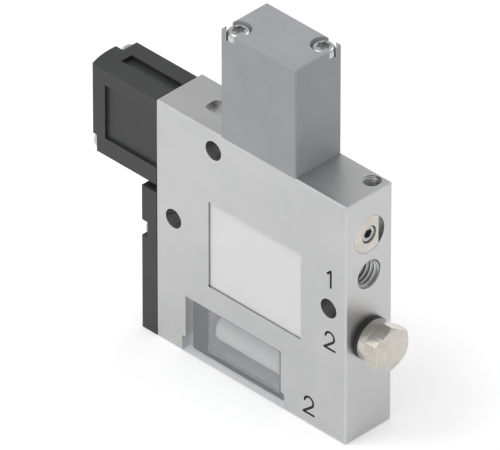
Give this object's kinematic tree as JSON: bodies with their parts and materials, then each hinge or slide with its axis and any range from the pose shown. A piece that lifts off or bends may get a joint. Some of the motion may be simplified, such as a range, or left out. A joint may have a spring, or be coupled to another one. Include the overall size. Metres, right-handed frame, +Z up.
{
  "type": "vacuum ejector",
  "caption": "Slim block vacuum ejector with solenoid valve, silencer, filter window, regulating screw and plugged side port.",
  "frame": {"origin": "middle of the body block's base face", "axes": "+X to the port side, +Y to the rear mounting face along the fixing holes, +Z up"},
  "size_m": [0.0612, 0.01, 0.0647],
  "materials": {
    "anodised_block": "natural anodised, fine bead blast",
    "label": "plain satin film plate",
    "silencer_case": "grey moulded plastic, satin",
    "rubber_seal": "black nitrile rubber",
    "porous_sleeve": "porous white plastic",
    "zinc_screw": "zinc-plated steel",
    "brass_turned": "turned brass",
    "nickel_turned": "nickel-plated brass, turned",
    "steel_turned": "turned stainless steel",
    "plug_seal": "dark sealing ring",
    "black_plastic": "black glass-filled plastic, fine texture",
    "pale_plastic": "natural plastic",
    "copper_winding": "enamelled copper wire",
    "spring_steel": "drawn spring wire",
    "button_plastic": "blue moulded plastic",
    "pin_brass": "gold-plated contact",
    "cover_case": "black moulded plastic, satin",
    "clear_window": "clear moulded plastic",
    "filter_felt": "white sintered filter"
  },
  "bodies": {
    "block": {"body": "anodised_block", "label_plate": "label", "silencer_housing": "silencer_case", "silencer_gasket": "rubber_seal", "silencer_insert": "porous_sleeve", "silencer_screw_1": "zinc_screw", "silencer_screw_2": "zinc_screw", "jet_nozzle": "brass_turned", "receiver_nozzle": "brass_turned", "jet_nozzle_oring": "rubber_seal", "receiver_nozzle_oring": "rubber_seal", "regulating_insert": "nickel_turned", "screw_plug": "nickel_turned", "plug_seal_ring": "plug_seal", "valve_housing": "black_plastic", "valve_screw_1": "zinc_screw", "valve_screw_2": "zinc_screw", "valve_gasket": "rubber_seal", "valve_base": "black_plastic", "solenoid_yoke": "steel_turned", "coil_bobbin": "pale_plastic", "coil_winding": "copper_winding", "fixed_core": "steel_turned", "armature_spring": "spring_steel", "override_spring": "spring_steel", "contact_pin_1": "pin_brass", "contact_pin_2": "pin_brass", "cover_plate": "cover_case", "cover_gasket": "rubber_seal", "cover_screw_1": "zinc_screw", "cover_screw_2": "zinc_screw", "filter_window": "clear_window", "filter_window_seal": "rubber_seal", "filter_seal": "rubber_seal", "filter_element": "filter_felt", "filter_end_cap": "pale_plastic"},
    "screw_carriage": {"regulating_screw_oring": "rubber_seal"},
    "regulating_screw": {"regulating_screw": "steel_turned"},
    "armature": {"armature": "steel_turned", "armature_seal": "rubber_seal"},
    "override_button": {"override_button": "button_plastic"}
  },
  "joints": [
    {"name": "regulating_screw_travel", "type": "slide", "parent": "block", "child": "screw_carriage", "axis": [1, 0, 0], "range_m": [-0.001, 0]},
    {"name": "regulating_screw_turn", "type": "hinge", "parent": "screw_carriage", "child": "regulating_screw", "pos_m": [0.0203, 0, 0.03725], "axis": [1, 0, 0], "range_deg": [-720, 0]},
    {"name": "armature_stroke", "type": "slide", "parent": "block", "child": "armature", "axis": [-1, 0, 0], "range_m": [0, 0.0005], "stiffness_N_per_m": 400, "springref_m": -0.001, "deforming": ["armature_spring"]},
    {"name": "override_press", "type": "slide", "parent": "block", "child": "override_button", "axis": [1, 0, 0], "range_m": [0, 0.0006], "stiffness_N_per_m": 400, "springref_m": -0.001, "deforming": ["override_spring"]}
  ],
  "couplings": [
    {"joint": "regulating_screw_turn", "follows": "regulating_screw_travel", "rad_per_m": 12566}
  ]
}
